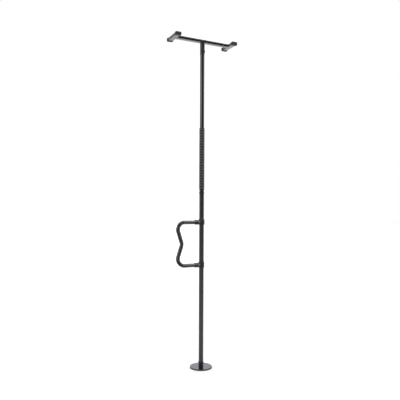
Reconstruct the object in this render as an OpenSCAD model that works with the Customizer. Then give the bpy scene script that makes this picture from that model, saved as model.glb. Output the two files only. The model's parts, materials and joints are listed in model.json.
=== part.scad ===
// Transfer pole held between a floor and a ceiling, with a curved handle that swivels round it.
// Millimetres, Z up. The floor is at zero, the pole's axis is Z, and the ceiling bar runs along X.

/* [Floor plate] */
// Diameter of the steel floor plate
plate_d = 164; // [130:1:220]
// Thickness of the floor plate
plate_t = 6; // [5:0.5:10]
// Bevel on the upper edge of the floor plate
plate_edge = 1.2; // [0.4:0.1:2]
// Thickness of the rubber pad under the plate
pad_t = 4; // [2:0.5:8]
// How far the pad stays inside the edge of the plate
pad_inset = 1.5; // [0.5:0.5:6]

/* [Jack] */
// Outside diameter of the jack screw
screw_d = 20; // [16:0.5:23]
// Lead of the jack screw
screw_lead = 4; // [2.5:0.5:5]
// Depth of the screw's thread
thread_depth = 2; // [1:0.1:2.4]
// Length of the screw above the floor plate
screw_h = 120; // [90:1:180]
// How far the screw's head inside the plate stands out past the screw
screw_flange = 7; // [4:0.5:12]
// Thickness of the screw's head
screw_head_t = 3; // [2:0.5:4]
// Wall of the jack collar round its cup
collar_wall = 2.3; // [1.5:0.1:6]
// Height of the jack collar below its cup
collar_floor = 18; // [14:0.5:30]
// Depth of the cup in the collar that takes the foot of the pole
collar_cup = 14; // [8:0.5:24]
// Bevel on the edges of the collar
collar_edge = 1.2; // [0.4:0.1:1.4]
// Height of the flange at the foot of the collar
collar_flange = 8; // [4:0.5:10]
// Depth of the neck above that flange
neck_cut = 1.6; // [1.5:0.1:3]
// Solid part of the collar between the neck and the cup
neck_roof = 2.5; // [1.5:0.5:4]
// Depth of the two spanner flats on the neck, from the outside of the collar
flat_cut = 3; // [2:0.1:5]
// How far the flats stay inside the neck, above and below
flat_margin = 1; // [0.5:0.1:2]
// Thickness of the thrust washer under the foot of the pole
washer_t = 2; // [1:0.5:3]
// Thickness of the flange on the foot bush
foot_flange_t = 3; // [2:0.5:4]
// Length of the foot bush inside the pole
foot_plug_h = 24; // [12:1:40]

/* [Lower pole] */
// Outside diameter of the lower pole
lower_d = 31.75; // [28:0.05:40]
// Wall of the lower pole
lower_wall = 1.25; // [0.8:0.05:2]
// Length of the lower pole
lower_len = 1751; // [1500:1:1900]

/* [Grip] */
// Length of the ribbed grip
grip_len = 453; // [300:1:480]
// Rubber over the skirt of the guide cap, in the grooves of the grip
grip_cover = 0.425; // [0.3:0.025:3]
// How far the ribs stand out past the grooves
rib_rise = 0.9; // [0.3:0.05:2]
// Number of ribs
rib_count = 23; // [10:1:30]

/* [Guide cap] */
// How far the guide cap on the lower pole stands out past the grooves of the grip
cap_lip = 0.4; // [0:0.1:2]
// Thickness of the cap over the end of the pole
cap_t = 3; // [2:0.5:6]
// Length of the cap's skirt around the pole
skirt_h = 8; // [4:0.5:20]
// Wall of the skirt
skirt_wall = 0.6; // [0.4:0.05:1.5]

/* [Locking ring] */
// Wall of the locking ring
ring_wall = 1.5; // [1.5:0.1:6]
// Height of the locking ring
ring_h = 12; // [9:0.5:16]
// Bare pole between the ring and the grip
ring_drop = 21; // [5:1:60]
// Diameter of the grub screws in the locking ring
grub_d = 5; // [3:0.5:6]

/* [Handle] */
// Bare pole between the locking ring and the upper tee
handle_drop = 188; // [20:1:300]
// Distance between the two legs of the handle
handle_span = 318; // [290:1:360]
// Distance from the pole's axis to the outermost centre line of the handle
handle_reach = 192; // [170:1:230]
// Outside diameter of the handle tube
handle_d = 25.4; // [20:0.1:32]
// Wall of the handle tube
handle_wall = 1.6; // [1:0.1:2]
// Bend radius at the corners of the handle
corner_r = 52; // [40:1:60]
// Bend radius in the valley of the handle
valley_r = 45; // [35:1:60]
// Lean of the two runs that form the valley
handle_lean = 18; // [10:1:22]

/* [Tees] */
// Wall of the tee round the pole
tee_wall = 2.6; // [2:0.1:6]
// How far the tee runs past the socket for the handle tube, above and below
tee_shoulder = 1.5; // [1:0.5:12]
// Height of the tapered neck on top of the tee
taper_h = 5.5; // [3:0.5:12]
// Wall at the top of the taper
taper_lip = 1; // [0.5:0.1:2]
// Wall of the socket for the handle tube
stub_wall = 3.2; // [2:0.1:6]
// Depth of that socket
socket_depth = 34.3; // [24:0.1:50]
// Wall between the bore of the tee and the floor of the socket
neck_wall = 3; // [2:0.5:5]
// Wall of the nylon liner in each tee
liner_wall = 1.4; // [0.8:0.1:3]
// Thickness of the liner's flange
liner_flange = 1.5; // [1:0.1:3]
// Diameter of the cross bolt through the socket
bolt_d = 6; // [4:0.5:7]
// Distance from the floor of the socket to the cross bolt
bolt_in = 7.3; // [6:0.1:14]
// Diameter of the bolt's head
bolt_head_d = 11; // [9:0.5:12]
// Height of the bolt's head
bolt_head_h = 3.3; // [2:0.1:5]
// Width across the flats of the nut
nut_w = 10; // [9:0.5:11]
// Height of the nut
nut_h = 5; // [3:0.5:7]

/* [Index ring] */
// Height of the notched ring inside the foot of the lower tee
index_h = 7; // [6:0.5:12]
// Number of notches
notch_count = 8; // [4:1:12]
// Radius of the notches
notch_r = 1.6; // [1.2:0.1:1.8]
// Thickness of the index spring
spring_t = 1; // [0.6:0.1:1.2]
// Diameter of the grub screws in the notched ring
index_grub_d = 3; // [2:0.5:3]

/* [Upper pole] */
// Height of the ceiling above the floor
ceiling_h = 2438; // [2300:1:2700]
// Room all round the upper pole inside the lower pole
tube_slip = 0.325; // [0.3:0.025:2]
// Wall of the upper pole
upper_wall = 1.6; // [1:0.1:3]
// Length of the upper pole
upper_len = 1814; // [1500:1:2000]
// Length of the guide bush below the upper pole
guide_h = 10; // [6:1:20]
// Length of the plugs inside the upper pole
plug_h = 22; // [12:1:40]
// Thickness of the plug that carries the ceiling bar
top_plug_t = 4; // [2:0.5:8]

/* [Ceiling mount] */
// Wall of the stem
stem_wall = 1.5; // [1:0.05:4]
// Length of the stem
stem_len = 86; // [60:1:120]
// Width of the ceiling bar
bar_w = 31; // [26:0.5:40]
// Height of the ceiling bar
bar_h = 18.6; // [12:0.1:19]
// Wall of the ceiling bar
bar_wall = 1.6; // [1:0.1:2.5]
// Distance between the middles of the two cross channels
bar_span = 459; // [350:1:600]
// Width of a cross channel
channel_w = 37; // [34:0.5:46]
// Height of a cross channel
channel_h = 17.6; // [17.2:0.1:22]
// Wall of a cross channel
channel_wall = 1.6; // [1:0.1:2.5]
// Length of a cross channel without its boots
channel_len = 162; // [120:1:240]
// Corner radius of the bar and the channels
section_r = 2; // [1:0.1:3]
// Wall of a rubber boot at its sides
boot_side = 2; // [1.5:0.1:5]
// Wall of a rubber boot above and below
boot_wall = 2; // [1.5:0.1:4]
// Wall of a rubber boot across its end
boot_end = 3; // [2:0.1:6]
// Length of a rubber boot
boot_len = 20; // [12:1:36]
// Corner radius of a rubber boot
boot_r = 3; // [1:0.1:4]
// Diameter of the bolt that clamps the stem
stem_bolt_d = 8; // [5:0.5:9]
// Diameter of that bolt's head
stem_head_d = 13; // [11:0.5:15]
// Height of that bolt's head
stem_head_h = 2.2; // [2:0.1:5]
// Diameter of the boss under that bolt's head
boss_d = 18; // [16:0.5:22]
// How far the boss stands out from the stem
boss_rise = 1.2; // [0.5:0.1:3]
// Height of that bolt above the lower end of the stem
stem_bolt_up = 27; // [14:1:50]

/* [Hidden] */
$fn = 96;
// Room between pieces that move past each other
run_gap = 0.3;
// Room between pieces that are fixed to each other
fit_gap = 0.1;
// Room under the thrust washer and over the top plug
thrust_gap = 0.15;
// How far every cut runs past its piece
overrun = 1;
// How far grub screws lie under the surface
grub_sink = 0.3;
// Depth of the hexagon socket in a grub screw
grub_key_depth = 1.2;
// How far the cross bolt's seats stand out from the socket
seat_rise = 0.6;
// How far the cross bolt shows past its nut
bolt_tip = 1.5;
// Depth of the hexagon socket in a bolt's head
key_depth = 1.9;
// Bevel on rings, sockets and caps
small_edge = 0.6;
// Unthreaded length of the screw above the plate
screw_neck = 2;
// How far a straight run of the handle laps into the wall of a bend, and how much thinner it is there
bend_lap = 0.5;
bend_skin = 0.1;

// Shares of a rib's pitch and height that draw its profile
rib_width_share = 0.7;
rib_at_shares = [0, 0.1, 0.28, 0.5, 0.72, 0.9, 1];
rib_up_shares = [0, 0.6, 0.93, 1, 0.93, 0.6, 0];
// Shares of the lead and depth that draw one thread
thread_at_shares = [0, 0.2, 0.5, 0.7];
thread_up_shares = [0, 1, 1, 0];
// Shares of a screw head's radius and height that draw its dome
head_out_shares = [0, 1, 1, 0.82, 0.55, 0];
head_up_shares = [0, 0, 0.3, 0.78, 1, 1];
// Share of a screw's diameter that its hexagon socket takes
key_share = 0.62;
// Share of the liner's wall by which the index spring stands off the bore of the liner
spring_in_share = 0.3;
// Share of the tee's wall that the seat of the index spring takes
spring_out_share = 0.5;

// Heights of the stack from the floor up
plate_z = pad_t;
plate_top = plate_z + plate_t;
collar_z = plate_top + run_gap;
cup_z = collar_z + collar_floor;
collar_top = cup_z + collar_cup;
neck_z = collar_z + collar_flange;
neck_top = cup_z - neck_roof;
washer_z = cup_z + thrust_gap;
foot_z = washer_z + washer_t;
lower_z = foot_z + foot_flange_t;
lower_top = lower_z + lower_len;
grip_z = lower_top - grip_len;
ring_z = grip_z - ring_drop - ring_h;

// Radii of the poles and of what runs on them
lower_r = lower_d / 2;
lower_in = lower_r - lower_wall;
upper_r = lower_in - tube_slip;
upper_in = upper_r - upper_wall;
fixed_r = lower_r + fit_gap;
screw_r = screw_d / 2;
screw_clear = screw_r + run_gap;
screw_head_r = screw_r + screw_flange;
cup_r = lower_r + run_gap;
collar_r = cup_r + collar_wall;
neck_r = collar_r - neck_cut;
skirt_r = fixed_r + skirt_wall;
skirt_clear = skirt_r + fit_gap;
groove_r = skirt_clear + grip_cover;
cap_r = groove_r + cap_lip;
ring_r = fixed_r + ring_wall;
rib_pitch = grip_len / rib_count;

// The tees and the notched ring
liner_in = lower_r + run_gap;
liner_r = liner_in + liner_wall;
tee_in = liner_r + fit_gap;
tee_r = tee_in + tee_wall;
taper_r = tee_in + taper_lip;
socket_r = handle_d / 2 + fit_gap;
stub_r = socket_r + stub_wall;
tee_half = stub_r + tee_shoulder;
tee_z = -tee_half;
tee_top = tee_half + taper_h;
half_span = handle_span / 2;
high_leg = ring_z - handle_drop - liner_flange - tee_top;
handle_mid = high_leg - half_span;
low_leg = handle_mid - half_span;
index_z = low_leg + tee_z;
index_top = index_z + index_h;
spring_z = index_top + thrust_gap;
spring_top = spring_z + spring_t;
recess_top = spring_top + fit_gap;
spring_in = lower_r + run_gap + spring_in_share * liner_wall;
recess_r = tee_in + spring_out_share * tee_wall;
spring_r = recess_r - fit_gap;
index_r = recess_r - run_gap;
nose_r = notch_r - run_gap;
notch_angle = 360 / notch_count;
nose_angles = [0, floor(notch_count / 2) * notch_angle];
socket_floor = tee_in + neck_wall;
tube_start = socket_floor + fit_gap;
stub_reach = socket_floor + socket_depth;
bolt_out = socket_floor + bolt_in;
seat_out = stub_r + seat_rise;
seat_d = bolt_head_d + 2 * small_edge;

// The line of the handle tube, measured out from the pole and up from its middle
corner_out = handle_reach - corner_r;
corner_up = half_span - corner_r;
run_out = corner_out + corner_r * cos(handle_lean);
run_up = corner_up - corner_r * sin(handle_lean);
valley_out = run_out - run_up * tan(handle_lean) + valley_r / cos(handle_lean);
run_len = (run_up - valley_r * sin(handle_lean)) / cos(handle_lean);

// The ceiling mount
boot_h = channel_h + 2 * (boot_wall + fit_gap);
boot_w = channel_w + 2 * (boot_side + fit_gap);
channel_z = ceiling_h - boot_h + boot_wall + fit_gap;
bar_z = channel_z;
stem_z = bar_z - stem_len;
stem_in = upper_r + fit_gap;
stem_r = stem_in + stem_wall;
plug_top = bar_z - thrust_gap;
upper_top = plug_top - top_plug_t;
upper_z = upper_top - upper_len;
channel_x = bar_span / 2;
bar_len = bar_span - channel_w;
stem_bolt_z = stem_z + stem_bolt_up;
boss_out = stem_r + boss_rise;
boot_start = channel_len / 2 + boot_end + fit_gap;

// Angles at which the grub screws stand
lock_angles = [60, 180, 300];
index_angles = [20, 110];

// A straight ring between two radii
module ring(inner, outer, low, tall) {
    translate([0, 0, low])
        difference() {
            cylinder(r = outer, h = tall);
            translate([0, 0, -overrun])
                cylinder(r = inner, h = tall + 2 * overrun);
        }
}

// A ring with bevelled outer edges
module bevelled_ring(inner, outer, low, tall, edge) {
    rotate_extrude()
        polygon([
            [inner, low],
            [outer - edge, low],
            [outer, low + edge],
            [outer, low + tall - edge],
            [outer - edge, low + tall],
            [inner, low + tall]
        ]);
}

// A hexagon bar by its width across the flats
module hexagon(wide, tall) {
    cylinder(d = wide / cos(30), h = tall, $fn = 6);
}

// A flat outline with round corners
module round_outline(wide, high, corner) {
    square([wide - 2 * corner, high], center = true);
    square([wide, high - 2 * corner], center = true);
    for (x = [-1, 1], y = [-1, 1])
        translate([x * (wide / 2 - corner), y * (high / 2 - corner)])
            circle(r = corner);
}

// The dome of a bolt's head
module dome_head(wide, tall) {
    rotate_extrude()
        polygon([
            for (k = [0 : len(head_out_shares) - 1])
                [wide / 2 * head_out_shares[k], tall * head_up_shares[k]]
        ]);
}

// A grub screw along X, from its tip out to the surface it sits in
module grub(tip, surface, thick) {
    difference() {
        translate([tip, 0, 0])
            rotate([0, 90, 0])
                cylinder(d = thick, h = surface - grub_sink - tip);
        translate([surface - grub_sink - grub_key_depth, 0, 0])
            rotate([0, 90, 0])
                hexagon(key_share * thick, grub_key_depth + overrun);
    }
}

module base_pad() {
    color("dimgray")
        cylinder(d = plate_d - 2 * pad_inset, h = pad_t);
}

module base_plate() {
    color("black")
        rotate_extrude()
            polygon([
                [screw_head_r + fit_gap, plate_z],
                [plate_d / 2 - plate_edge / 2, plate_z],
                [plate_d / 2, plate_z + plate_edge / 2],
                [plate_d / 2, plate_top - plate_edge],
                [plate_d / 2 - plate_edge, plate_top],
                [screw_r + fit_gap, plate_top],
                [screw_r + fit_gap, plate_z + screw_head_t],
                [screw_head_r + fit_gap, plate_z + screw_head_t]
            ]);
}

module jack_screw() {
    thread_z = plate_top + screw_neck;
    turns = floor((screw_h - screw_neck) / screw_lead) - 1;
    root = screw_r - thread_depth;
    top = plate_top + screw_h;
    color("silver")
        rotate_extrude()
            polygon(concat(
                [
                    [0, plate_z],
                    [screw_head_r, plate_z],
                    [screw_head_r, plate_z + screw_head_t],
                    [screw_r, plate_z + screw_head_t],
                    [screw_r, plate_top + screw_neck / 2]
                ],
                [
                    for (i = [0 : turns - 1], k = [0 : len(thread_at_shares) - 1])
                        [
                            root + thread_depth * thread_up_shares[k],
                            thread_z + screw_lead * (i + thread_at_shares[k])
                        ]
                ],
                [[root, top], [0, top]]
            ));
}

module jack_collar() {
    flat_h = neck_top - neck_z - 2 * flat_margin;
    color("black")
        difference() {
            rotate_extrude()
                polygon([
                    [screw_clear, collar_z],
                    [collar_r - collar_edge, collar_z],
                    [collar_r, collar_z + collar_edge],
                    [collar_r, neck_z - collar_edge],
                    [collar_r - collar_edge, neck_z],
                    [neck_r, neck_z],
                    [neck_r, neck_top],
                    [collar_r - small_edge, neck_top],
                    [collar_r, neck_top + small_edge],
                    [collar_r, collar_top - collar_edge],
                    [collar_r - collar_edge, collar_top],
                    [cup_r, collar_top],
                    [cup_r, cup_z],
                    [screw_clear, cup_z]
                ]);
            for (side = [0, 180])
                rotate([0, 0, side])
                    translate([-collar_r, collar_r - flat_cut, neck_z + flat_margin])
                        cube([2 * collar_r, flat_cut + overrun, flat_h]);
        }
}

module thrust_washer() {
    color("goldenrod")
        ring(screw_clear, lower_r, washer_z, washer_t);
}

module foot_bush() {
    plug_r = lower_in - fit_gap;
    color("silver")
        rotate_extrude()
            polygon([
                [screw_clear, foot_z],
                [lower_r, foot_z],
                [lower_r, lower_z],
                [plug_r, lower_z],
                [plug_r, lower_z + foot_plug_h - small_edge],
                [plug_r - small_edge, lower_z + foot_plug_h],
                [screw_clear, lower_z + foot_plug_h]
            ]);
}

module lower_pole() {
    color("black")
        difference() {
            ring(lower_in, lower_r, lower_z, lower_len);
            for (angle = lock_angles)
                rotate([0, 0, angle])
                    translate([0, 0, ring_z + ring_h / 2])
                        rotate([0, 90, 0])
                            cylinder(d = grub_d + 2 * fit_gap, h = lower_d);
        }
}

module pole_grip() {
    rib_w = rib_pitch * rib_width_share;
    color("darkslategray")
        rotate_extrude()
            polygon(concat(
                [[fixed_r, grip_z], [groove_r, grip_z]],
                [
                    for (i = [0 : rib_count - 1], k = [0 : len(rib_at_shares) - 1])
                        [
                            groove_r + rib_rise * rib_up_shares[k],
                            grip_z + rib_pitch * (i + 0.5) + rib_w * (rib_at_shares[k] - 0.5)
                        ]
                ],
                [
                    [groove_r, lower_top],
                    [skirt_clear, lower_top],
                    [skirt_clear, lower_top - skirt_h - fit_gap],
                    [fixed_r, lower_top - skirt_h - fit_gap]
                ]
            ));
}

module guide_cap() {
    bore_r = upper_r + tube_slip / 2;
    color("dimgray")
        rotate_extrude()
            polygon([
                [bore_r, lower_top],
                [fixed_r, lower_top],
                [fixed_r, lower_top - skirt_h],
                [skirt_r, lower_top - skirt_h],
                [skirt_r, lower_top],
                [cap_r, lower_top],
                [cap_r, lower_top + cap_t - small_edge],
                [cap_r - small_edge, lower_top + cap_t],
                [bore_r, lower_top + cap_t]
            ]);
}

module lock_ring() {
    color("black")
        difference() {
            bevelled_ring(fixed_r, ring_r, ring_z, ring_h, small_edge);
            for (angle = lock_angles)
                rotate([0, 0, angle])
                    translate([0, 0, ring_z + ring_h / 2])
                        rotate([0, 90, 0])
                            cylinder(d = grub_d + 2 * fit_gap, h = ring_r + overrun);
        }
}

module lock_screws() {
    color("silver")
        for (angle = lock_angles)
            rotate([0, 0, angle])
                translate([0, 0, ring_z + ring_h / 2])
                    grub(upper_r + run_gap, ring_r, grub_d);
}

module index_ring() {
    grub_z = index_z + (index_h - notch_r) / 2;
    color("black")
        difference() {
            bevelled_ring(fixed_r, index_r, index_z, index_h, small_edge);
            for (i = [0 : notch_count - 1])
                rotate([0, 0, i * notch_angle])
                    translate([0, 0, index_top])
                        rotate([0, 90, 0])
                            cylinder(r = notch_r, h = index_r + overrun);
            for (angle = index_angles)
                rotate([0, 0, angle])
                    translate([0, 0, grub_z])
                        rotate([0, 90, 0])
                            cylinder(d = index_grub_d + 2 * fit_gap, h = index_r + overrun);
        }
}

module index_screws() {
    color("silver")
        for (angle = index_angles)
            rotate([0, 0, angle])
                translate([0, 0, index_z + (index_h - notch_r) / 2])
                    grub(fixed_r, index_r, index_grub_d);
}

module index_spring() {
    deep = notch_r + thrust_gap;
    color("silver")
        intersection() {
            ring(spring_in, spring_r, spring_z - deep, spring_t + deep);
            union() {
                translate([0, 0, spring_z])
                    cylinder(r = spring_r + overrun, h = spring_t);
                for (angle = nose_angles)
                    rotate([0, 0, angle])
                        translate([0, 0, spring_z])
                            rotate([0, 90, 0])
                                cylinder(r = nose_r, h = spring_r + overrun);
            }
        }
}

// A tee about the middle of its leg, with the socket out along minus X
module tee() {
    difference() {
        union() {
            rotate_extrude()
                polygon([
                    [0, tee_z],
                    [tee_r - small_edge, tee_z],
                    [tee_r, tee_z + small_edge],
                    [tee_r, tee_half],
                    [taper_r, tee_top],
                    [0, tee_top]
                ]);
            rotate([0, -90, 0])
                rotate_extrude()
                    polygon([
                        [0, 0],
                        [stub_r, 0],
                        [stub_r, stub_reach - small_edge],
                        [stub_r - small_edge, stub_reach],
                        [0, stub_reach]
                    ]);
            translate([-bolt_out, 0, 0])
                rotate([90, 0, 0])
                    cylinder(d = seat_d, h = 2 * seat_out, center = true);
        }
        translate([0, 0, tee_z - overrun])
            cylinder(r = tee_in, h = tee_top - tee_z + 2 * overrun);
        translate([-socket_floor, 0, 0])
            rotate([0, -90, 0])
                cylinder(r = socket_r, h = socket_depth + overrun);
        translate([-bolt_out, 0, 0])
            rotate([90, 0, 0])
                cylinder(d = bolt_d + 2 * fit_gap, h = 2 * (seat_out + overrun), center = true);
    }
}

module upper_tee() {
    color("black")
        translate([0, 0, high_leg])
            tee();
}

module lower_tee() {
    color("black")
        difference() {
            translate([0, 0, low_leg])
                tee();
            translate([0, 0, index_z - overrun])
                cylinder(r = recess_r, h = recess_top - index_z + overrun);
        }
}

// A liner from a given height to the top of its tee, with a flange over the end
module liner(low, leg) {
    top = leg + tee_top;
    rotate_extrude()
        polygon([
            [liner_in, low],
            [liner_r, low],
            [liner_r, top],
            [taper_r, top],
            [taper_r, top + liner_flange - small_edge],
            [taper_r - small_edge, top + liner_flange],
            [liner_in, top + liner_flange]
        ]);
}

module upper_liner() {
    color("gray")
        liner(high_leg + tee_z, high_leg);
}

module lower_liner() {
    color("gray")
        liner(recess_top, low_leg);
}

// The cross bolt, with its head towards minus Y
module cross_bolt(leg) {
    translate([-bolt_out, 0, leg])
        rotate([90, 0, 0])
            difference() {
                union() {
                    translate([0, 0, -seat_out - nut_h - bolt_tip])
                        cylinder(d = bolt_d, h = 2 * seat_out + nut_h + bolt_tip);
                    translate([0, 0, seat_out])
                        dome_head(bolt_head_d, bolt_head_h);
                }
                translate([0, 0, seat_out + bolt_head_h - key_depth])
                    hexagon(key_share * bolt_d, key_depth + overrun);
            }
}

module upper_bolt() {
    color("silver")
        cross_bolt(high_leg);
}

module lower_bolt() {
    color("silver")
        cross_bolt(low_leg);
}

module cross_nut(leg) {
    translate([-bolt_out, seat_out, leg])
        rotate([-90, 0, 0])
            difference() {
                hexagon(nut_w, nut_h);
                translate([0, 0, -overrun])
                    cylinder(d = bolt_d + fit_gap, h = nut_h + 2 * overrun);
            }
}

module upper_nut() {
    color("silver")
        cross_nut(high_leg);
}

module lower_nut() {
    color("silver")
        cross_nut(low_leg);
}

// The section of the handle tube, drawn in from both of its faces. The turn keeps its seam in one line.
module tube_section(skin, turn) {
    rotate(turn)
        difference() {
            circle(d = handle_d - 2 * skin);
            circle(d = handle_d - 2 * (handle_wall - skin));
        }
}

module tube_bend(radius, angle, turn) {
    rotate_extrude(angle = angle)
        translate([radius, 0])
            tube_section(0, turn);
}

// A straight run along Z, whose ends lap into the walls of the bends
module tube_run(start_lap, length, turn) {
    translate([0, 0, -start_lap])
        linear_extrude(length + start_lap + bend_lap)
            tube_section(bend_skin, turn);
}

// The upper half of the handle tube, drawn flat
module handle_half() {
    translate([-tube_start, half_span, 0])
        rotate([0, -90, 0])
            tube_run(0, corner_out - tube_start, 90);
    translate([-corner_out, corner_up, 0])
        rotate([0, 0, 90])
            tube_bend(corner_r, 90 + handle_lean, 0);
    translate([-run_out, run_up, 0])
        rotate([0, 0, handle_lean - 90])
            rotate([0, 90, 0])
                tube_run(bend_lap, run_len, -90);
}

module handle_tube() {
    color("black")
        translate([0, 0, handle_mid])
            difference() {
                rotate([90, 0, 0])
                    union() {
                        handle_half();
                        mirror([0, 1, 0])
                            handle_half();
                        translate([-valley_out, 0, 0])
                            rotate([0, 0, -handle_lean])
                                tube_bend(valley_r, 2 * handle_lean, 180);
                    }
                for (side = [-1, 1])
                    translate([-bolt_out, 0, side * half_span])
                        rotate([90, 0, 0])
                            cylinder(d = bolt_d + 2 * fit_gap, h = handle_d + 2 * overrun, center = true);
            }
}

module upper_pole() {
    color("black")
        ring(upper_in, upper_r, upper_z, upper_len);
}

module guide_bush() {
    foot_r = lower_in - run_gap;
    plug_r = upper_in - fit_gap;
    color("gray")
        rotate_extrude()
            polygon([
                [0, upper_z - guide_h],
                [foot_r - small_edge, upper_z - guide_h],
                [foot_r, upper_z - guide_h + small_edge],
                [foot_r, upper_z],
                [plug_r, upper_z],
                [plug_r, upper_z + plug_h],
                [0, upper_z + plug_h]
            ]);
}

module top_plug() {
    plug_r = upper_in - fit_gap;
    color("gray")
        rotate_extrude()
            polygon([
                [0, upper_top - plug_h],
                [plug_r, upper_top - plug_h],
                [plug_r, upper_top],
                [upper_r, upper_top],
                [upper_r, plug_top],
                [0, plug_top]
            ]);
}

module stem_socket() {
    color("black")
        difference() {
            union() {
                translate([0, 0, stem_z])
                    cylinder(r = stem_r, h = stem_len);
                translate([0, 0, stem_bolt_z])
                    rotate([0, 90, 0])
                        cylinder(d = boss_d, h = boss_out);
            }
            translate([0, 0, stem_z - overrun])
                cylinder(r = stem_in, h = stem_len + 2 * overrun);
            translate([0, 0, stem_bolt_z])
                rotate([0, 90, 0])
                    cylinder(d = stem_bolt_d + 2 * fit_gap, h = boss_out + overrun);
        }
}

module stem_bolt() {
    tip = upper_r + run_gap;
    color("silver")
        translate([0, 0, stem_bolt_z])
            rotate([0, 90, 0])
                difference() {
                    union() {
                        translate([0, 0, tip])
                            cylinder(d = stem_bolt_d, h = boss_out - tip);
                        translate([0, 0, boss_out])
                            dome_head(stem_head_d, stem_head_h);
                    }
                    translate([0, 0, boss_out + stem_head_h - key_depth])
                        hexagon(key_share * stem_bolt_d, key_depth + overrun);
                }
}

module ceiling_bar() {
    color("black")
        translate([-bar_len / 2, 0, bar_z + bar_h / 2])
            rotate([90, 0, 90])
                linear_extrude(bar_len)
                    difference() {
                        round_outline(bar_w, bar_h, section_r);
                        square([bar_w - 2 * bar_wall, bar_h - 2 * bar_wall], center = true);
                    }
}

// A cross channel in the middle of its length
module channel() {
    translate([0, 0, channel_z + channel_h / 2])
        rotate([90, 0, 0])
            linear_extrude(channel_len, center = true)
                difference() {
                    round_outline(channel_w, channel_h, section_r);
                    square([channel_w - 2 * channel_wall, channel_h - 2 * channel_wall], center = true);
                }
}

module left_channel() {
    color("black")
        translate([-channel_x, 0, 0])
            channel();
}

module right_channel() {
    color("black")
        translate([channel_x, 0, 0])
            channel();
}

// A boot on the end of a channel that points towards minus Y
module boot() {
    translate([0, -boot_start, ceiling_h - boot_h / 2])
        rotate([90, 0, 180])
            difference() {
                linear_extrude(boot_len)
                    round_outline(boot_w, boot_h, boot_r);
                translate([0, 0, boot_end])
                    linear_extrude(boot_len)
                        round_outline(channel_w + 2 * fit_gap, channel_h + 2 * fit_gap, section_r);
            }
}

module boot_left_front() {
    color("dimgray")
        translate([-channel_x, 0, 0])
            boot();
}

module boot_left_back() {
    color("dimgray")
        translate([-channel_x, 0, 0])
            mirror([0, 1, 0])
                boot();
}

module boot_right_front() {
    color("dimgray")
        translate([channel_x, 0, 0])
            boot();
}

module boot_right_back() {
    color("dimgray")
        translate([channel_x, 0, 0])
            mirror([0, 1, 0])
                boot();
}

base_pad();
base_plate();
jack_screw();
jack_collar();
thrust_washer();
foot_bush();
lower_pole();
pole_grip();
guide_cap();
lock_ring();
lock_screws();
index_ring();
index_screws();
upper_pole();
guide_bush();
top_plug();
stem_socket();
stem_bolt();
ceiling_bar();
left_channel();
right_channel();
boot_left_front();
boot_left_back();
boot_right_front();
boot_right_back();
handle_tube();
upper_tee();
lower_tee();
upper_liner();
lower_liner();
upper_bolt();
lower_bolt();
upper_nut();
lower_nut();
index_spring();
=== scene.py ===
import json
import math

import bpy
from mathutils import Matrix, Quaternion, Vector


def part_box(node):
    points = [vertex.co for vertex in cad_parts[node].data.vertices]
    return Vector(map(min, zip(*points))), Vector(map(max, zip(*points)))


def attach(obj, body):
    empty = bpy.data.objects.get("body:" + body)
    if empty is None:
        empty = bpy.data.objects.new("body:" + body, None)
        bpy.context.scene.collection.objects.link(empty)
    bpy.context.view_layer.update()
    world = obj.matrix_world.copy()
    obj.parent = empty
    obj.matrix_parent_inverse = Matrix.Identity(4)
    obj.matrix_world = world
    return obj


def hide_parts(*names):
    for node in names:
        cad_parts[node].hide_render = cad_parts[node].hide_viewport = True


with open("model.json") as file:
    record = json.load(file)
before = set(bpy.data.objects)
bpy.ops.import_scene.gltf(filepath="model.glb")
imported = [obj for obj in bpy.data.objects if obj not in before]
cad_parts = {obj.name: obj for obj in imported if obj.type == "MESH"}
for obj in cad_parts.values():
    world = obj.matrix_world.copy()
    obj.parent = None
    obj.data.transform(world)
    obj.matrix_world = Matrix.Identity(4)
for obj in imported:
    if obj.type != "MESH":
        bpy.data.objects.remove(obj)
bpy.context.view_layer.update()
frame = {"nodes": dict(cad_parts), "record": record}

scene = bpy.context.scene
cad = frame["nodes"]

# Sizes are millimetres in the frame of the CAD model, and MM turns them into the scene's metres.
MM = 0.001


class Box:
    """Where a CAD node is at rest, in millimetres. The right side of a round node is its radius."""

    def __init__(self, node):
        low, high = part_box(node)
        self.left, self.front, self.low = (round(value / MM, 3) for value in low)
        self.right, self.back, self.top = (round(value / MM, 3) for value in high)
        self.height = self.top - self.low
        self.middle = (self.low + self.top) / 2


# Camera, fitted to the photograph, with its place in metres and its aim a little aside of the pole
EYE = Vector((-1.6075, -3.1811, 1.184))
TO_EYE = Vector((EYE.x, EYE.y, 0.0)).normalized()
TO_RIGHT = Vector((-TO_EYE.y, TO_EYE.x, 0.0))
FOCAL_PIXELS = 478.2
PIXELS_ASIDE = 1.6
AIM_OFFSET = math.atan(PIXELS_ASIDE / FOCAL_PIXELS)
PITCH = math.radians(-0.595)
ROLL = math.radians(0.26)
SENSOR = 36.0
LENS = 43.0
SHIFT_UP = 0.0353

# Brightness of the white background, and of the dark studio between its panels
BACKDROP = 1.0
STUDIO_DARK = 0.09

# Gaps between pieces that are fixed to each other, and between pieces that move on each other
FIT_GAP = 0.1
RUN_GAP = 0.3

# Floor plate, its pad and the jack screw
SCREW_FLANGE = 7.0
SCREW_HEAD_T = 3.0
SCREW_LEAD = 4.0
THREAD_DEPTH = 2.0
PLATE = Box("base_plate")
PAD = Box("base_pad")
SCREW = Box("jack_screw")
SCREW_HEAD_R = SCREW.right
SCREW_HEAD_TOP = SCREW.low + SCREW_HEAD_T
SCREW_R = SCREW_HEAD_R - SCREW_FLANGE
SCREW_ROOT = SCREW_R - THREAD_DEPTH
SCREW_CLEAR = SCREW_R + RUN_GAP

# The two poles
LOWER_WALL = 1.25
UPPER_WALL = 1.6
LOWER = Box("lower_pole")
UPPER = Box("upper_pole")
LOWER_IN = LOWER.right - LOWER_WALL
UPPER_IN = UPPER.right - UPPER_WALL

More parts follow.
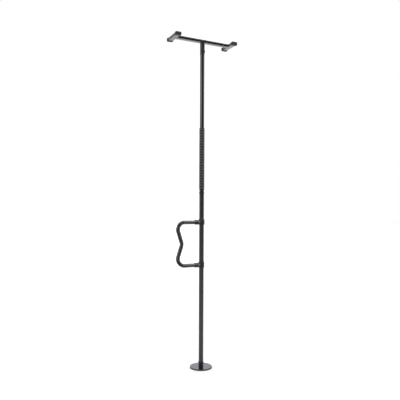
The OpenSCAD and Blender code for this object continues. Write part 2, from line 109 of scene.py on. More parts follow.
# Foot collar, with its cup for the pole and the neck below the cup
COLLAR_FLANGE = 8.0
COLLAR_FLOOR = 18.0
NECK_ROOF = 2.5
NECK_CUT = 1.6
FLAT_CUT = 3.0
FLAT_MARGIN = 1.0
COLLAR = Box("jack_collar")
CUP_R = LOWER.right + RUN_GAP
CUP_Z = COLLAR.low + COLLAR_FLOOR
NECK_Z = COLLAR.low + COLLAR_FLANGE
NECK_TOP = CUP_Z - NECK_ROOF
NECK_R = COLLAR.right - NECK_CUT
NECK_FLAT = COLLAR.right - FLAT_CUT

# Grip and guide cap, which both sit on the lower pole
RIBS = 23
SKIRT_WALL = 0.6
GRIP_COVER = 0.425
GRIP = Box("pole_grip")
CAP = Box("guide_cap")
SLEEVE_IN = LOWER.right + FIT_GAP
SKIRT_R = SLEEVE_IN + SKIRT_WALL
SKIRT_CLEAR = SKIRT_R + FIT_GAP
GROOVE_R = SKIRT_CLEAR + GRIP_COVER
RIB_RISE = GRIP.right - GROOVE_R
CAP_IN = (UPPER.right + LOWER_IN) / 2

# Handle, from its two legs through the round corners to the valley between them
HANDLE_REACH = 192.0
CORNER_R = 52.0
VALLEY_R = 45.0
LEAN = math.radians(18.0)
HANDLE = Box("handle_tube")
UPPER_LEG = Box("upper_bolt").middle
LOWER_LEG = Box("lower_bolt").middle
HANDLE_MID = (UPPER_LEG + LOWER_LEG) / 2
HALF_SPAN = (UPPER_LEG - LOWER_LEG) / 2
HANDLE_R = HANDLE.top - UPPER_LEG
CORNER_OUT = HANDLE_REACH - CORNER_R
CORNER_UP = HALF_SPAN - CORNER_R
VALLEY_OUT = CORNER_OUT - CORNER_UP * math.tan(LEAN) + (CORNER_R + VALLEY_R) / math.cos(LEAN)

# Tees, each with a barrel round the pole and a socket for a leg of the handle
CASTINGS = ("upper_tee", "lower_tee")
SOCKET_WALL = 3.2
TEE_BEVEL = 0.6
FILLET_R = 2.6
TEE = Box("upper_tee")
TEE_STRAIGHT = UPPER_LEG - TEE.low - TEE_BEVEL
SOCKET_R = HANDLE_R + FIT_GAP + SOCKET_WALL

# Ceiling mount and its rubber boots
BOOT_R = 3.0
BOOT_WALL = 2.0
BOOT_FLOOR = 3.0
CAVITY_R = 2.0
BAR = Box("ceiling_bar")
STEM_R = -Box("stem_socket").left


class Tree:
    """A material's or world's node tree, with short calls that add and join nodes."""

    # Places of a mix node's inputs and outputs, for numbers and for colours
    MIX_AMOUNT = 0
    MIX_NUMBERS = (2, 3)
    MIX_NUMBER_OUT = 0
    MIX_COLORS = (6, 7)
    MIX_COLOR_OUT = 2

    def __init__(self, owner):
        owner.use_nodes = True
        self.tree = owner.node_tree
        self.tree.nodes.clear()

    def add(self, kind, settings=None, **inputs):
        """A new node with its settings and inputs."""
        node = self.tree.nodes.new(kind)
        for name, value in (settings or {}).items():
            setattr(node, name, value)
        for name, value in inputs.items():
            self.put(node, name.replace("_", " "), value)
        return node

    def put(self, node, key, value):
        """Joins an output to an input of a node, or sets a plain value there."""
        socket = node.inputs[key]
        if isinstance(value, bpy.types.NodeSocket):
            self.tree.links.new(value, socket)
        else:
            socket.default_value = value

    def math(self, operation, *values):
        """The result of one operation on numbers."""
        node = self.add("ShaderNodeMath", {"operation": operation})
        for i, value in enumerate(values):
            self.put(node, i, value)
        return node.outputs[0]

    def product(self, first, *others):
        """Numbers multiplied together."""
        for other in others:
            first = self.math("MULTIPLY", first, other)
        return first

    def dot(self, vector, direction):
        """How far a vector goes in a direction."""
        node = self.add("ShaderNodeVectorMath", {"operation": "DOT_PRODUCT"})
        self.put(node, 0, vector)
        self.put(node, 1, direction)
        return node.outputs["Value"]

    def ramp(self, value, low, high, to_low=0.0, to_high=1.0):
        """A smooth step of a value from one limit to another."""
        node = self.add("ShaderNodeMapRange", {"interpolation_type": "SMOOTHSTEP"}, Value=value,
                        From_Min=low, From_Max=high, To_Min=to_low, To_Max=to_high)
        return node.outputs["Result"]

    def fall(self, value, low, high, full=1.0):
        """A smooth step of a value down to nothing."""
        return self.ramp(value, low, high, full, 0.0)

    def noise(self, place, scale, detail=2.0, rough=0.5):
        """A cloudy pattern of numbers from 0 to 1."""
        node = self.add("ShaderNodeTexNoise", Vector=place, Scale=scale, Detail=detail, Roughness=rough)
        return node.outputs["Fac"]

    def mix(self, amount, first, second):
        """A number between two others."""
        node = self.add("ShaderNodeMix", {"data_type": "FLOAT"})
        self.put(node, self.MIX_AMOUNT, amount)
        for place, value in zip(self.MIX_NUMBERS, (first, second)):
            self.put(node, place, value)
        return node.outputs[self.MIX_NUMBER_OUT]

    def blend(self, amount, first, second):
        """A colour between two others."""
        node = self.add("ShaderNodeMix", {"data_type": "RGBA"})
        self.put(node, self.MIX_AMOUNT, amount)
        for place, color in zip(self.MIX_COLORS, (first, second)):
            is_socket = isinstance(color, bpy.types.NodeSocket)
            self.put(node, place, color if is_socket else (*color, 1.0))
        return node.outputs[self.MIX_COLOR_OUT]


def start(name):
    """A new material, its tree, and the place on the object that its patterns follow."""
    made = bpy.data.materials.new(name)
    tree = Tree(made)
    place = tree.add("ShaderNodeTexCoord").outputs["Object"]
    return made, tree, place


def shade(tree, color, roughness, height, strength, depth, **constants):
    """The shader of a material, with its bump and its output."""
    bump = tree.add("ShaderNodeBump", Height=height, Strength=strength, Distance=depth * MM)
    shader = tree.add("ShaderNodeBsdfPrincipled", Base_Color=color, Roughness=roughness,
                      Normal=bump.outputs["Normal"], **constants)
    tree.add("ShaderNodeOutputMaterial", Surface=shader.outputs["BSDF"])


def worn_edges(tree, patches):
    """How far the paint is rubbed off, in patches along the edges of a piece."""
    look = {"inside": True, "only_local": True, "samples": 8}
    open_share = tree.add("ShaderNodeAmbientOcclusion", look, Distance=0.9 * MM).outputs["AO"]
    edge = tree.fall(open_share, 0.55, 0.95)
    return tree.product(edge, tree.ramp(patches, 0.45, 0.66))


def black_paint():
    """Glossy black enamel with a faint orange peel, smears, a little dust and rubbed edges."""
    made, tree, place = start("black_paint")
    clean, smeared = (0.0076, 0.0074, 0.0091), (0.0101, 0.0098, 0.012)
    dusty, rubbed = (0.09, 0.089, 0.088), (0.075, 0.075, 0.079)
    smear = tree.noise(place, scale=11.0, detail=4.0, rough=0.6)
    peel = tree.noise(place, scale=620.0)
    grit = tree.noise(place, scale=340.0, detail=5.0, rough=0.7)
    upward = tree.dot(tree.add("ShaderNodeNewGeometry").outputs["Normal"], (0, 0, 1))
    dust = tree.product(tree.ramp(upward, 0.75, 1.0), tree.ramp(grit, 0.48, 0.72))
    worn = worn_edges(tree, grit)
    color = tree.blend(tree.ramp(smear, 0.3, 0.7), clean, smeared)
    color = tree.blend(tree.product(dust, 0.12), color, dusty)
    color = tree.blend(tree.product(worn, 0.55), color, rubbed)
    rough = tree.math("ADD", tree.ramp(smear, 0.3, 0.75, 0.07, 0.12), tree.ramp(grit, 0.4, 0.8, 0.0, 0.03))
    rough = tree.math("ADD", rough, tree.product(worn, 0.15))
    shade(tree, color, rough, height=peel, strength=0.1, depth=0.04, IOR=1.5)
    return made


def cast_paint():
    """Satin black paint over the fine rough skin of a casting, with rubbed edges."""
    made, tree, place = start("cast_paint")
    deep, pale, rubbed = (0.0085, 0.0083, 0.0097), (0.0125, 0.0122, 0.014), (0.06, 0.06, 0.063)
    skin_grain = tree.noise(place, scale=900.0, detail=4.0, rough=0.6)
    patch = tree.noise(place, scale=60.0, detail=4.0, rough=0.6)
    worn = worn_edges(tree, patch)
    color = tree.blend(tree.ramp(patch, 0.3, 0.7), deep, pale)
    color = tree.blend(tree.product(worn, 0.4), color, rubbed)
    rough = tree.ramp(patch, 0.3, 0.7, 0.3, 0.44)
    shade(tree, color, rough, height=skin_grain, strength=0.25, depth=0.06, IOR=1.34)
    return made


def pad_rubber():
    """Matte moulded rubber with a fine grain and a little bloom."""
    made, tree, place = start("pad_rubber")
    deep, pale = (0.006, 0.006, 0.0065), (0.012, 0.012, 0.0125)
    grain = tree.noise(place, scale=1400.0, detail=3.0, rough=0.6)
    bloom = tree.noise(place, scale=45.0, detail=5.0, rough=0.65)
    color = tree.blend(tree.ramp(bloom, 0.35, 0.75), deep, pale)
    rough = tree.ramp(bloom, 0.3, 0.7, 0.5, 0.72)
    shade(tree, color, rough, height=grain, strength=0.35, depth=0.08, IOR=1.3)
    return made


def grip_rubber():
    """Charcoal grip rubber with the rib crests painted paler: partly rubbed by hands, partly a painted
    highlight along each rib.
    """
    made, tree, place = start("grip_rubber")
    # The rubbed colour on the crests is partly real rubbing and partly a painted highlight of each rib.
    deep, pale, rubbed = (0.003, 0.0029, 0.0034), (0.0055, 0.0054, 0.006), (0.084, 0.082, 0.095)
    rub_and_highlight_start, rub_and_highlight_full = 0.7, 0.98
    crest_low, crest_top = GROOVE_R + rub_and_highlight_start * RIB_RISE, GROOVE_R + rub_and_highlight_full * RIB_RISE
    grain = tree.add("ShaderNodeTexVoronoi", Vector=place, Scale=1300.0).outputs["Distance"]
    mottle = tree.noise(place, scale=70.0, detail=5.0, rough=0.65)
    apart = tree.add("ShaderNodeSeparateXYZ", Vector=place)
    squares = [tree.math("POWER", apart.outputs[axis], 2.0) for axis in "XY"]
    from_axis = tree.math("SQRT", tree.math("ADD", *squares))
    # The band near the top of each rib where the painted highlight and the rubbing lie.
    crest = tree.ramp(from_axis, crest_low * MM, crest_top * MM)
    color = tree.blend(tree.ramp(mottle, 0.3, 0.75), deep, pale)
    # Painted highlight: the crests turn toward the pale rubbed colour, standing in for the light each rib
    # catches, with some real rubbing.
    color = tree.blend(tree.product(crest, tree.ramp(mottle, 0.2, 0.7, 0.7, 1.0)), color, rubbed)
    rough = tree.math("SUBTRACT", tree.ramp(mottle, 0.3, 0.7, 0.55, 0.7), tree.product(crest, 0.2))
    shade(tree, color, rough, height=grain, strength=0.25, depth=0.1, IOR=1.35)
    return made


def black_nylon():
    """Moulded black nylon, satin, with faint flow marks."""
    made, tree, place = start("black_nylon")
    deep, pale = (0.012, 0.012, 0.0125), (0.02, 0.02, 0.0205)
    marks = tree.add("ShaderNodeTexWave", Vector=place, Scale=60.0, Distortion=6.0, Detail=3.0)
    flow = marks.outputs["Fac"]
    grain = tree.noise(place, scale=1100.0, detail=3.0)
    color = tree.blend(flow, deep, pale)
    rough = tree.ramp(flow, 0.0, 1.0, 0.36, 0.46)
    shade(tree, color, rough, height=grain, strength=0.2, depth=0.05, IOR=1.53)
    return made


def zinc_steel():
    """Zinc plate with fine turning marks and dull spots."""
    made, tree, place = start("zinc_steel")
    bright, dull = (0.28, 0.283, 0.29), (0.19, 0.193, 0.2)
    level = {"bands_direction": "Z"}
    marks = tree.add("ShaderNodeTexWave", level, Vector=place, Scale=900.0, Distortion=1.5, Detail=2.0)
    spots = tree.noise(place, scale=320.0, detail=4.0, rough=0.6)
    color = tree.blend(tree.ramp(spots, 0.4, 0.75), bright, dull)
    rough = tree.ramp(spots, 0.3, 0.75, 0.2, 0.38)
    shade(tree, color, rough, height=marks.outputs["Fac"], strength=0.15, depth=0.04, Metallic=1.0)
    return made


def bronze():
    """Plain bearing bronze with a worn face."""
    made, tree, place = start("bronze")
    bright, dull = (0.55, 0.38, 0.17), (0.36, 0.23, 0.1)
    patches = tree.noise(place, scale=210.0, detail=5.0, rough=0.6)
    turned = tree.noise(place, scale=1500.0)
    color = tree.blend(tree.ramp(patches, 0.35, 0.7), bright, dull)
    rough = tree.ramp(patches, 0.3, 0.7, 0.28, 0.45)
    shade(tree, color, rough, height=turned, strength=0.2, depth=0.05, Metallic=1.0)
    return made


finish = {
    "black_paint": black_paint(),
    "cast_paint": cast_paint(),
    "pad_rubber": pad_rubber(),
    "grip_rubber": grip_rubber(),
    "black_nylon": black_nylon(),
    "zinc_steel": zinc_steel(),
    "bronze": bronze(),
}


def dress_cad():
    """Every CAD node gets the full material of its slot, and the cast tees a duller paint."""
    for part in frame["record"]["subparts"]:
        mesh = cad[part["node"]].data
        look = "cast_paint" if part["node"] in CASTINGS else part["material_slot"]
        mesh.materials.clear()
        mesh.materials.append(finish[look])


def piece(name, points, faces, slot, body, stands_for=(), sharp=35.0, look=None):
    """A new mesh of the object, in millimetres, that rides on a body and may stand for CAD nodes."""
    mesh = bpy.data.meshes.new(name)
    mesh.from_pydata([tuple(c * MM for c in p) for p in points], [], faces)
    mesh.validate()
    mesh.polygons.foreach_set("use_smooth", [True] * len(mesh.polygons))
    mesh.set_sharp_from_angle(angle=math.radians(sharp))
    mesh.materials.append(finish[look or slot])
    made = bpy.data.objects.new(name, mesh)
    scene.collection.objects.link(made)
    even = made.modifiers.new("flat_faces_stay_flat", "WEIGHTED_NORMAL")
    even.keep_sharp = True
    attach(made, body)
    if stands_for:
        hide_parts(*stands_for)


def arc(x, y, radius, first, last, steps):
    """Points of an arc in a plane, from one angle to another in degrees."""
    angles = [math.radians(first + (last - first) * i / steps) for i in range(steps + 1)]
    return [(x + radius * math.cos(a), y + radius * math.sin(a)) for a in angles]


def round_foot(radius, low, edge, steps):
    """The round lower edge of an outline of radius and height."""
    return arc(radius - edge, low + edge, edge, -90, 0, steps)


def round_top(radius, top, edge, steps):
    """The round upper edge of an outline of radius and height."""
    return arc(radius - edge, top - edge, edge, 0, 90, steps)


def between(first, last, steps):
    """Points that part a straight line into equal steps, without its two ends."""
    return [tuple(a + (b - a) * i / steps for a, b in zip(first, last)) for i in range(1, steps)]


def full_turn(steps):
    """Angles that part a full turn into equal steps."""
    return [2 * math.pi * i / steps for i in range(steps)]


def circle(radius, height, around):
    """A level circle of points about Z."""
    return [(radius * math.cos(a), radius * math.sin(a), height) for a in full_turn(around)]


def closed_ring(sections):
    """Points and faces of a ring of closed sections that all have the same number of points."""
    around, count = len(sections), len(sections[0])
    points = [p for section in sections for p in section]
    faces = []
    for i in range(around):
        j = (i + 1) % around
        for k in range(count):
            m = (k + 1) % count
            faces.append((i * count + k, j * count + k, j * count + m, i * count + m))
    return points, faces


def lathe(outline, around):
    """Points and faces of a closed outline of radius and height, turned about Z."""
    sections = []
    for a in full_turn(around):
        sections.append([(r * math.cos(a), r * math.sin(a), z) for r, z in outline])
    return closed_ring(sections)


def skin(loops):
    """Points and faces of a skin over loops with the same number of points, closed at both ends."""
    count, last = len(loops[0]), len(loops) - 1
    points = [p for loop in loops for p in loop]
    faces = []
    for i in range(last):
        j = i + 1
        for k in range(count):
            m = (k + 1) % count
            faces.append((i * count + k, i * count + m, j * count + m, j * count + k))
    faces.append(tuple(reversed(range(count))))
    faces.append(tuple(range(last * count, (last + 1) * count)))
    return points, faces


def tube(path, radii, around):
    """Loops of a round tube along a path of points, with a radius at each."""
    loops = []
    side = (path[1] - path[0]).orthogonal()
    for i, point in enumerate(path):
        ahead = (path[min(i + 1, len(path) - 1)] - path[max(i - 1, 0)]).normalized()
        side = (side - ahead * side.dot(ahead)).normalized()
        up = ahead.cross(side)
        ways = [side * math.cos(a) + up * math.sin(a) for a in full_turn(around)]
        loops.append([tuple(point + way * radii[i]) for way in ways])
    return loops


def floor_plate():
    """The floor plate, with round edges, and the jack screw's head let in from below."""
    edge, foot, burr = 1.5, 0.6, 0.3
    hole, recess = SCREW_R + FIT_GAP, SCREW_HEAD_R + FIT_GAP
    outline = [(recess, PLATE.low)]
    outline += round_foot(PLATE.right, PLATE.low, foot, steps=4)
    outline += round_top(PLATE.right, PLATE.top, edge, steps=8)
    outline += [(hole + burr, PLATE.top), (hole, PLATE.top - burr)]
    outline += [(hole, SCREW_HEAD_TOP), (recess, SCREW_HEAD_TOP)]
    piece("floor_plate", *lathe(outline, around=160), "black_paint", "base", ["base_plate"])


def floor_pad():
    """The rubber pad under the plate, with a moulded groove round its side."""
    edge, groove = 0.9, 0.5
    outline = round_foot(PAD.right, PAD.low, edge, steps=4)
    outline += [(PAD.right, PAD.middle - groove), (PAD.right - groove, PAD.middle)]
    outline += [(PAD.right, PAD.middle + groove)]
    outline += round_top(PAD.right, PAD.top, edge, steps=4)
    loops = [circle(r, z, around=128) for r, z in outline]
    piece("floor_pad", *skin(loops), "pad_rubber", "base", ["base_pad"])


def collar():
    """The foot collar: a flange, a neck with two spanner flats, and a cup round the foot of the pole."""
    foot, lip, top, rim = 0.8, 0.6, 0.7, 0.3
    bevel, fall, shoulder = 0.7, 0.1, 0.1
    flats_low, flats_top = NECK_Z + FLAT_MARGIN, NECK_TOP - FLAT_MARGIN

    def cut_flats(x, y, z):
        """A point of the neck between the ends of the flats comes in to them."""
        if flats_low <= z <= flats_top:
            y = max(-NECK_FLAT, min(NECK_FLAT, y))
        return x, y, z

    outline = [(SCREW_CLEAR, COLLAR.low)]
    outline += round_foot(COLLAR.right, COLLAR.low, foot, steps=4)
    outline += [(COLLAR.right, NECK_Z - bevel), (COLLAR.right - bevel + fall, NECK_Z - fall)]
    outline += [(NECK_R, NECK_Z), (NECK_R, flats_low - shoulder), (NECK_R, flats_low)]
    outline += [(NECK_R, flats_top), (NECK_R, flats_top + shoulder), (NECK_R, NECK_TOP)]
    outline += round_foot(COLLAR.right, NECK_TOP, lip, steps=4)
    outline += round_top(COLLAR.right, COLLAR.top, top, steps=4)
    outline += [(CUP_R + rim, COLLAR.top), (CUP_R, COLLAR.top - rim)]
    outline += [(CUP_R, CUP_Z), (SCREW_CLEAR, CUP_Z)]
    points, faces = lathe(outline, around=120)
    points = [cut_flats(*p) for p in points]
    piece("spanner_collar", points, faces, "black_paint", "jack", ["jack_collar"], look="cast_paint")


def thread_height(share):
    """Height of the thread's flank at a share of its lead, from 0 in the root to 1 on the crest."""
    flank, crest = 0.26, 0.3
    if share < flank:
        return share / flank
    if share < flank + crest:
        return 1.0
    if share < 2 * flank + crest:
        return 1.0 - (share - flank - crest) / flank
    return 0.0


def screw():
    """The jack screw: its head, a plain neck, and a helical thread that runs out at both ends."""
    around, rows_per_turn = 48, 10
    neck_height, run_out = 1.0, 3.0
    neck = PLATE.top + neck_height
    step = SCREW_LEAD / rows_per_turn
    outline = [(SCREW_HEAD_R, SCREW.low), (SCREW_HEAD_R, SCREW_HEAD_TOP)]
    outline += [(SCREW_R, SCREW_HEAD_TOP), (SCREW_R, neck)]
    loops = [circle(r, z, around) for r, z in outline]
    rows = int((SCREW.top - neck) / step)
    for j in range(1, rows + 1):
        z = neck + j * step
        fade = min(1.0, (SCREW.top - z) / run_out, (z - neck) / run_out)
        plain = SCREW_R if z < SCREW.top / 2 else SCREW_ROOT
        loop = []
        for k, a in enumerate(full_turn(around)):
            share = ((z - neck) / SCREW_LEAD - k / around) % 1.0
            full = SCREW_ROOT + (SCREW_R - SCREW_ROOT) * thread_height(share)
            r = plain + (full - plain) * fade
            loop.append((r * math.cos(a), r * math.sin(a), z))
        loops.append(loop)
    piece("thread_screw", *skin(loops), "zinc_steel", "base", ["jack_screw"])


def pole(name, box, inner, node, body):
    """A pole tube with slightly rounded rims."""
    edge = 0.35
    outline = [(inner, box.low)]
    outline += round_foot(box.right, box.low, edge, steps=3)
    outline += round_top(box.right, box.top, edge, steps=3)
    outline += [(inner, box.top)]
    piece(name, *lathe(outline, around=96), "black_paint", body, [node])


def rib_height(share):
    """Height of a rib at a share of its pitch: a flat round crest with steep flanks."""
    half_width, flatness, steepness = 0.35, 3, 0.8
    away = abs(share - 0.5) / half_width
    if away >= 1.0:
        return 0.0
    return (1.0 - away ** flatness) ** steepness


def grip():
    """The ribbed grip, with a recess at its top for the skirt of the guide cap."""
    pitch, steps = GRIP.height / RIBS, 14
    foot, rim = 0.3, 0.2
    seat = CAP.low - FIT_GAP
    outline = [(SLEEVE_IN, GRIP.low), (GROOVE_R - foot, GRIP.low), (GROOVE_R, GRIP.low + foot)]
    for i in range(RIBS):
        for k in range(steps):
            share = (k + 0.5) / steps
            outline.append((GROOVE_R + RIB_RISE * rib_height(share), GRIP.low + pitch * (i + share)))
    outline += [(GROOVE_R, GRIP.top - rim), (GROOVE_R - rim, GRIP.top), (SKIRT_CLEAR, GRIP.top)]
    outline += [(SKIRT_CLEAR, seat), (SLEEVE_IN, seat)]
    piece("ribbed_grip", *lathe(outline, around=72), "grip_rubber", "lower", ["pole_grip"], sharp=50.0)


def cap():
    """The guide cap: a flange on the top of the lower pole and a skirt round it."""
    edge, lead_in = 1.1, 0.6
    outline = [(CAP_IN, LOWER.top), (SLEEVE_IN, LOWER.top), (SLEEVE_IN, CAP.low)]
    outline += [(SKIRT_R, CAP.low), (SKIRT_R, LOWER.top), (CAP.right, LOWER.top)]
    outline += round_top(CAP.right, CAP.top, edge, steps=6)
    outline += [(CAP_IN + lead_in, CAP.top), (CAP_IN, CAP.top - lead_in)]
    piece("slide_cap", *lathe(outline, around=96), "black_nylon", "lower", ["guide_cap"])


def handle():
    """The bent handle tube, swept along its centre line."""
    straight_steps, lean = 6, math.degrees(LEAN)
    begin = (-HANDLE.right, HALF_SPAN)
    corner = arc(CORNER_OUT, CORNER_UP, CORNER_R, 90, -lean, steps=36)
    valley = arc(VALLEY_OUT, 0.0, VALLEY_R, 180 - lean, 180, steps=6)
    line = [begin] + between(begin, corner[0], straight_steps) + corner
    line += between(corner[-1], valley[0], straight_steps) + valley
    line += [(u, -v) for u, v in reversed(line[:-1])]
    path = [Vector((-u, 0.0, HANDLE_MID + v)) for u, v in line]
    loops = tube(path, [HANDLE_R] * len(path), around=48)
    piece("bent_handle", *skin(loops), "black_paint", "handle", ["handle_tube"])


def tee_fillet(name, leg):
    """The cast fillet between the barrel of a tee and its socket: a ball rolled round the corner."""
    around, steps, buried, never_zero = 72, 6, 0.8, 0.1
    lift = Vector((0, 0, leg))
    sections = []
    for a in full_turn(around):
        across, up = math.sin(a), math.cos(a)
        ball = min(FILLET_R, TEE_STRAIGHT / max(abs(up), never_zero) - SOCKET_R)
        y, z = (SOCKET_R + ball) * across, (SOCKET_R + ball) * up
        middle = Vector((-math.sqrt((TEE.right + ball) ** 2 - y * y), y, z))
        to_tee, to_socket = TEE.right / (TEE.right + ball), SOCKET_R / (SOCKET_R + ball)
        first = Vector((middle.x * to_tee, middle.y * to_tee, z)) - middle
        last = Vector((middle.x, y * to_socket, z * to_socket)) - middle
        y, z = (SOCKET_R - buried) * across, (SOCKET_R - buried) * up
        section = [(-math.sqrt((TEE.right - buried) ** 2 - y * y), y, z + leg)]
        for k in range(steps + 1):
            way = last.lerp(first, k / steps).normalized() * ball
            section.append(tuple(middle + way + lift))
        sections.append(section)
    piece(name, *closed_ring(sections), "black_paint", "handle", look="cast_paint")


def weld(name, path):
    """A painted weld bead along a path, with its ripples and tapered ends."""
    size, ripple, ripple_turn = 1.7, 0.16, 2.1
    blunt, taper_points = 0.35, 4
    radii = []
    for i in range(len(path)):
        from_end = min(i, len(path) - 1 - i)
        taper = min(1.0, (from_end + blunt) / taper_points)
        radii.append(size * math.sqrt(taper) + ripple * math.sin(i * ripple_turn))
    piece(name, *skin(tube(path, radii, around=14)), "black_paint", "ceiling_mount", sharp=60.0)


def stem_welds():
    """Two beads between the stem and the ceiling bar, one on each side."""
    half_arc, steps, out = 58, 44, 0.4
    for name, middle in (("weld_stem_left", 180), ("weld_stem_right", 0)):
        line = arc(0.0, 0.0, STEM_R + out, middle - half_arc, middle + half_arc, steps)
        weld(name, [Vector((x, y, BAR.low - out)) for x, y in line])


def channel_welds():
    """Four upright beads between the ends of the ceiling bar and the channels."""
    steps, short, out = 18, 1.6, 0.4
    tall = BAR.height - 2 * short
    heights = [BAR.low + short + tall * i / steps for i in range(steps + 1)]
    for end, x in (("left", BAR.left + out), ("right", BAR.right - out)):
        for side, y in (("front", BAR.front - out), ("back", BAR.back + out)):
            weld("weld_" + end + "_" + side, [Vector((x, y, z)) for z in heights])


def boot_section(box, y, inset, corner):
    """A round-cornered section across a boot, drawn in from its outside."""
    x = (box.left + box.right) / 2
    wide = (box.right - box.left) / 2 - inset - corner
    high = box.height / 2 - inset - corner
    line = []
    for i, (u, v) in enumerate(((wide, high), (-wide, high), (-wide, -high), (wide, -high))):
        line += arc(u, v, corner, 90 * i, 90 * (i + 1), steps=6)
    return [(x + u, y, box.middle + v) for u, v in line]


def boot(node, toward):
    """A rubber boot with a round end, a shallow moulded groove and an open mouth over its channel."""
    edge, lip = 2.2, 0.5
    groove, groove_half, groove_side, groove_from_end = 0.5, 0.5, 0.6, 13.8
    box = Box(node)
    mouth, end = sorted((toward * box.front, toward * box.back))
    groove_at = end - groove_from_end
    groove_edge = groove_half + groove_side
    outside = [(end - edge + v, edge - u) for u, v in arc(0.0, 0.0, edge, 90, 0, steps=6)]
    outside += [(groove_at + groove_edge, 0.0), (groove_at + groove_half, groove)]
    outside += [(groove_at - groove_half, groove), (groove_at - groove_edge, 0.0)]
    outside += [(mouth + lip, 0.0), (mouth, lip)]
    loops = [boot_section(box, toward * along, inset, BOOT_R - inset) for along, inset in outside]
    for along in (mouth, end - BOOT_FLOOR):
        loops.append(boot_section(box, toward * along, BOOT_WALL, CAVITY_R))
    if toward < 0:
        loops = [list(reversed(loop)) for loop in loops]
    piece("rubber_" + node, *skin(loops), "pad_rubber", "ceiling_mount", [node], sharp=40.0)


def boots():
    """The four boots, on the ends of the two channels."""
    for end in ("left", "right"):
        for side, toward in (("front", -1), ("back", 1)):
            boot("boot_" + end + "_" + side, toward)


def camera():
    """The camera that took the photograph."""
    data = bpy.data.cameras.new("camera")
    data.sensor_width = SENSOR
    data.lens = LENS
    data.shift_y = SHIFT_UP
    data.clip_end = 100.0
    made = bpy.data.objects.new("camera", data)
    scene.collection.objects.link(made)
    ahead = Quaternion((0, 0, 1), AIM_OFFSET) @ -TO_EYE
    turn = ahead.to_track_quat("-Z", "Y") @ Quaternion((1, 0, 0), PITCH) @ Quaternion((0, 0, 1), ROLL)
    made.location = EYE
    made.rotation_euler = turn.to_euler()
    scene.camera = made


def dark_studio(tree):
    """Brightness that a reflection sees in each direction: a dark studio with bright panels."""
    way = tree.add("ShaderNodeTexCoord").outputs["Generated"]
    front = tree.dot(way, TO_EYE)
    wide = tree.math("ABSOLUTE", tree.dot(way, TO_RIGHT))
    high = tree.dot(way, (0, 0, 1))

    def round_panel(azimuth, elevation, inner, outer, brightness):
        """A round panel that fades between two radii, in degrees, with azimuth 0 at the camera."""
        a, e = math.radians(azimuth), math.radians(elevation)
        level = TO_EYE * math.cos(a) + TO_RIGHT * math.sin(a)
        toward = level * math.cos(e) + Vector((0, 0, math.sin(e)))
        faded, full = math.cos(math.radians(outer)), math.cos(math.radians(inner))
        return tree.ramp(tree.dot(way, toward), faded, full, 0.0, brightness)

    back_wall = tree.product(tree.fall(wide, 0.24, 0.4), tree.fall(front, -0.5, -0.2),
                             tree.ramp(high, -0.55, -0.4), tree.ramp(high, -0.1, 0.1, 2.75, 2.25))
    ceiling = tree.product(tree.ramp(high, 0.35, 0.6, 0.0, 0.8), tree.fall(front, -0.25, -0.05))
    low_front = tree.product(tree.ramp(high, -0.322, -0.303), tree.fall(high, -0.28, 0.06, 1.15),
                             tree.ramp(front, -0.15, 0.35))
    low_back = tree.product(tree.fall(high, -0.55, -0.4), tree.fall(front, -0.1, 0.2))
    left_low = round_panel(azimuth=-55, elevation=0, inner=20, outer=60, brightness=0.45)
    left_low = tree.product(left_low, tree.ramp(high, -0.2, -0.02))
    left_panel = round_panel(azimuth=-55, elevation=14, inner=26, outer=31, brightness=1.0)
    left_panel = tree.product(left_panel, tree.ramp(high, 0.08, 0.25),
                              tree.ramp(high, 0.23, 0.31, 5.0, 1.9))
    left_back = round_panel(azimuth=-126, elevation=20, inner=14, outer=25, brightness=1.3)
    right_side = round_panel(azimuth=100, elevation=5, inner=18, outer=32, brightness=0.9)
    right_side = tree.product(right_side, tree.ramp(high, -0.12, -0.02))
    high_right = round_panel(azimuth=76, elevation=46, inner=12, outer=19, brightness=14.5)
    overhead = round_panel(azimuth=20, elevation=68, inner=22, outer=38, brightness=1.7)
    panels = [back_wall, ceiling, low_front, low_back, left_low, left_panel, left_back]
    panels += [right_side, high_right, overhead]
    total = STUDIO_DARK
    for panel in panels:
        total = tree.math("ADD", panel, total)
    return total


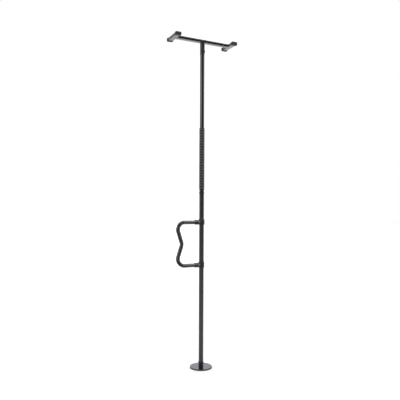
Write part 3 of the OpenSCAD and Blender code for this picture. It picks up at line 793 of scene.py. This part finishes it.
def studio_world():
    """White for the camera and for soft light, and the dark studio for reflections."""
    white, cool = (1.0, 1.0, 1.0), (1.0, 0.985, 1.066)
    made = bpy.data.worlds.new("studio")
    scene.world = made
    tree = Tree(made)
    is_glossy = tree.add("ShaderNodeLightPath").outputs["Is Glossy Ray"]
    strength = tree.mix(is_glossy, BACKDROP, dark_studio(tree))
    tint = tree.blend(is_glossy, white, cool)
    sky = tree.add("ShaderNodeBackground", Color=tint, Strength=strength)
    tree.add("ShaderNodeOutputWorld", Surface=sky.outputs["Background"])


def tone():
    """The middle tones are held down a little, as in the photograph."""
    settings = scene.view_settings
    settings.view_transform = "Standard"
    settings.use_curve_mapping = True
    combined_curve = 3
    held_down = ((0.08, 0.08), (0.3, 0.19), (0.5, 0.32))
    for into, out in held_down:
        settings.curve_mapping.curves[combined_curve].points.new(into, out)
    settings.curve_mapping.update()


def studio_floor():
    """A wide pale floor just under the pad, unseen by reflections. Its size is in metres."""
    half, sunk = 30.0, 0.4 * MM
    corners = [(-half, -half, 0), (half, -half, 0), (half, half, 0), (-half, half, 0)]
    mesh = bpy.data.meshes.new("floor")
    mesh.from_pydata(corners, [], [(0, 1, 2, 3)])
    made = bpy.data.objects.new("floor", mesh)
    scene.collection.objects.link(made)
    made.location.z = -sunk
    made.visible_glossy = False
    plain = bpy.data.materials.new("floor")
    plain.use_nodes = True
    shader = plain.node_tree.nodes["Principled BSDF"]
    shader.inputs["Base Color"].default_value = (0.4, 0.4, 0.4, 1)
    shader.inputs["Emission Color"].default_value = (1, 1, 1, 1)
    shader.inputs["Emission Strength"].default_value = 0.6
    shader.inputs["Roughness"].default_value = 1.0
    mesh.materials.append(plain)


tone()
camera()
studio_world()
studio_floor()
dress_cad()
floor_plate()
floor_pad()
collar()
screw()
pole("lower_tube", LOWER, LOWER_IN, "lower_pole", "lower")
pole("upper_tube", UPPER, UPPER_IN, "upper_pole", "upper")
grip()
cap()
handle()
tee_fillet("upper_tee_fillet", UPPER_LEG)
tee_fillet("lower_tee_fillet", LOWER_LEG)
stem_welds()
channel_welds()
boots()
